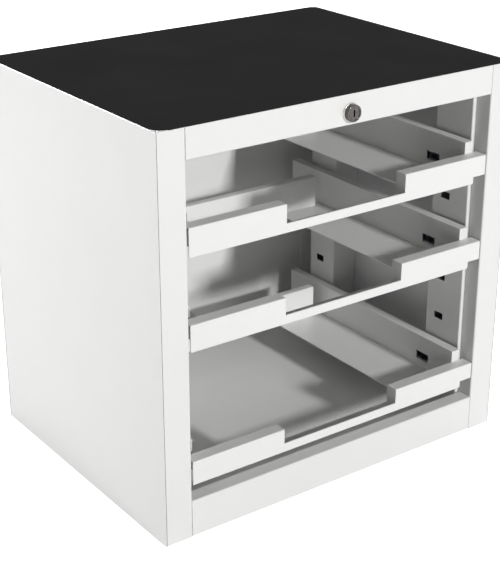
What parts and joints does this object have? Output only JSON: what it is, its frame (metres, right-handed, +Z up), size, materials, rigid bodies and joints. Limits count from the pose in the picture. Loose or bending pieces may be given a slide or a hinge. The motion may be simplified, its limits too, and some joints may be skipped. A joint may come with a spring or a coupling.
{
  "type": "tool case storage cabinet",
  "caption": "White steel cabinet open at the front, with full-extension pull-outs for tool cases, a black rubber top mat and a lock in the top rail that bars the pull-outs.",
  "frame": {"origin": "on the floor, under the middle of the whole cabinet with the lock's nose included", "axes": "+Z up, +X to the right seen from the front, the open front faces -Y"},
  "size_m": [0.52, 0.4034, 0.5],
  "materials": {
    "case_paint": "semi-gloss white powder coat",
    "pullout_paint": "semi-gloss white powder coat",
    "mat_rubber": "matt black, fine texture",
    "buffer_rubber": "matt black",
    "slide_steel": "bright zinc plate",
    "zinc_steel": "zinc plated",
    "lock_chrome": "nickel plated, polished"
  },
  "bodies": {
    "cabinet": {"back_panel": "case_paint", "bar_guides": "zinc_steel", "bottom_left_outer_rail": "slide_steel", "bottom_right_outer_rail": "slide_steel", "floor_panel": "case_paint", "front_left_upright": "case_paint", "front_right_upright": "case_paint", "front_sill": "case_paint", "left_side_panel": "case_paint", "lock_housing": "lock_chrome", "lock_nut": "lock_chrome", "middle_left_outer_rail": "slide_steel", "middle_right_outer_rail": "slide_steel", "rear_left_upright": "case_paint", "rear_right_upright": "case_paint", "right_side_panel": "case_paint", "rod_guides": "zinc_steel", "slide_buffers": "buffer_rubber", "top_front_rail": "case_paint", "top_left_outer_rail": "slide_steel", "top_mat": "mat_rubber", "top_panel": "case_paint", "top_right_outer_rail": "slide_steel"},
    "lock_plug": {"lock_core": "lock_chrome", "lock_cam": "zinc_steel", "cam_screw": "zinc_steel"},
    "drive_rod": {"drive_rod": "zinc_steel"},
    "locking_bar": {"locking_bar": "zinc_steel"},
    "bottom_pullout": {"bottom_pullout_front": "pullout_paint", "bottom_pullout_left_wall": "pullout_paint", "bottom_pullout_lock_catch": "pullout_paint", "bottom_pullout_rear_stop": "pullout_paint", "bottom_pullout_right_wall": "pullout_paint", "bottom_left_inner_rail": "slide_steel", "bottom_right_inner_rail": "slide_steel"},
    "bottom_slide_middles": {"bottom_left_middle_rail": "slide_steel", "bottom_right_middle_rail": "slide_steel"},
    "middle_pullout": {"middle_pullout_front": "pullout_paint", "middle_pullout_left_wall": "pullout_paint", "middle_pullout_lock_catch": "pullout_paint", "middle_pullout_rear_stop": "pullout_paint", "middle_pullout_right_wall": "pullout_paint", "middle_left_inner_rail": "slide_steel", "middle_right_inner_rail": "slide_steel"},
    "middle_slide_middles": {"middle_left_middle_rail": "slide_steel", "middle_right_middle_rail": "slide_steel"},
    "top_pullout": {"top_pullout_front": "pullout_paint", "top_pullout_left_wall": "pullout_paint", "top_pullout_lock_catch": "pullout_paint", "top_pullout_rear_stop": "pullout_paint", "top_pullout_right_wall": "pullout_paint", "top_left_inner_rail": "slide_steel", "top_right_inner_rail": "slide_steel"},
    "top_slide_middles": {"top_left_middle_rail": "slide_steel", "top_right_middle_rail": "slide_steel"}
  },
  "joints": [
    {"name": "top_pullout_slide", "type": "slide", "parent": "cabinet", "child": "top_pullout", "axis": [0, -1, 0], "range_m": [0, 0.336]},
    {"name": "top_slide_middles_slide", "type": "slide", "parent": "cabinet", "child": "top_slide_middles", "axis": [0, -1, 0], "range_m": [0, 0.168]},
    {"name": "middle_pullout_slide", "type": "slide", "parent": "cabinet", "child": "middle_pullout", "axis": [0, -1, 0], "range_m": [0, 0.336]},
    {"name": "middle_slide_middles_slide", "type": "slide", "parent": "cabinet", "child": "middle_slide_middles", "axis": [0, -1, 0], "range_m": [0, 0.168]},
    {"name": "bottom_pullout_slide", "type": "slide", "parent": "cabinet", "child": "bottom_pullout", "axis": [0, -1, 0], "range_m": [0, 0.336]},
    {"name": "bottom_slide_middles_slide", "type": "slide", "parent": "cabinet", "child": "bottom_slide_middles", "axis": [0, -1, 0], "range_m": [0, 0.168]},
    {"name": "drive_rod_slide", "type": "slide", "parent": "cabinet", "child": "drive_rod", "axis": [-1, 0, 0], "range_m": [0, 0.01414]},
    {"name": "lock_turn", "type": "hinge", "parent": "cabinet", "child": "lock_plug", "pos_m": [0, -0.20175, 0.4785], "axis": [0, 1, 0], "range_deg": [0, 90]},
    {"name": "locking_bar_slide", "type": "slide", "parent": "cabinet", "child": "locking_bar", "axis": [0, 0, -1], "range_m": [0, 0.008]}
  ],
  "couplings": [
    {"joint": "top_slide_middles_slide", "follows": "top_pullout_slide", "ratio": 0.5},
    {"joint": "middle_slide_middles_slide", "follows": "middle_pullout_slide", "ratio": 0.5},
    {"joint": "bottom_slide_middles_slide", "follows": "bottom_pullout_slide", "ratio": 0.5},
    {"joint": "lock_turn", "follows": "drive_rod_slide", "rad_per_m": 111.07},
    {"joint": "locking_bar_slide", "follows": "drive_rod_slide", "ratio": 0.56569}
  ]
}
